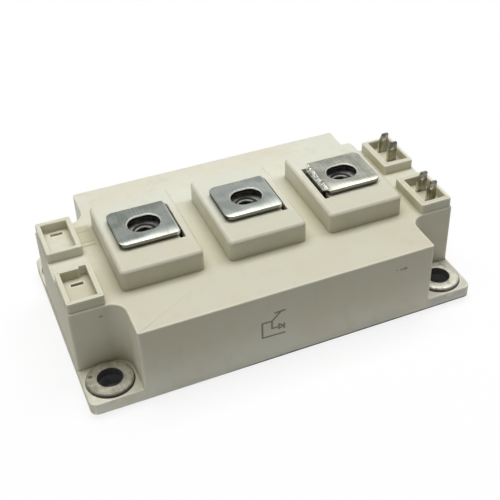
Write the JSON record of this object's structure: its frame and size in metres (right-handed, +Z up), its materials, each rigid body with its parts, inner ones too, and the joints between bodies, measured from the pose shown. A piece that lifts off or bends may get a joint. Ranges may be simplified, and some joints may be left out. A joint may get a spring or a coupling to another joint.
{
  "type": "igbt module",
  "caption": "Half-bridge power transistor module: cream moulded housing on a metal base, screw terminals with captive nuts, flat control tabs and bushed screw recesses.",
  "frame": {"origin": "centre of the underside of the base plate", "axes": "+X along the module towards the control tabs, +Z up, front side at -Y"},
  "size_m": [0.1064, 0.0614, 0.0304],
  "materials": {
    "housing": "satin moulded surface",
    "base_metal": "nickel-plated copper, satin",
    "terminal_metal": "nickel-plated copper, bright satin",
    "bushing_metal": "plated steel, dull and worn",
    "nut_steel": "zinc-plated steel, dull",
    "tab_metal": "tinned copper, dull",
    "solder": "dull solder",
    "copper": "bare copper sheet",
    "ceramic": "matt white ceramic tile",
    "chip": "polished silicon with a metal face",
    "ribbon": "soft aluminium",
    "gel": "clear silicone gel"
  },
  "bodies": {
    "root": {"housing": "housing", "base_plate": "base_metal", "silicone_gel": "gel", "bushing_front_left": "bushing_metal", "bushing_front_right": "bushing_metal", "bushing_rear_left": "bushing_metal", "bushing_rear_right": "bushing_metal", "wing_left": "housing", "wing_right": "housing", "block_terminal_1": "housing", "main_terminal_1": "terminal_metal", "nut_terminal_1": "nut_steel", "block_terminal_2": "housing", "main_terminal_2": "terminal_metal", "nut_terminal_2": "nut_steel", "block_terminal_3": "housing", "main_terminal_3": "terminal_metal", "nut_terminal_3": "nut_steel", "gate_tab_upper": "tab_metal", "emitter_tab_upper": "tab_metal", "solder_upper": "solder", "back_copper_upper": "copper", "ceramic_upper": "ceramic", "track_copper_upper": "copper", "transistor_chips_upper": "chip", "diode_chips_upper": "chip", "bond_ribbons_upper": "ribbon", "gate_tab_lower": "tab_metal", "emitter_tab_lower": "tab_metal", "solder_lower": "solder", "back_copper_lower": "copper", "ceramic_lower": "ceramic", "track_copper_lower": "copper", "transistor_chips_lower": "chip", "diode_chips_lower": "chip", "bond_ribbons_lower": "ribbon"}
  },
  "joints": []
}
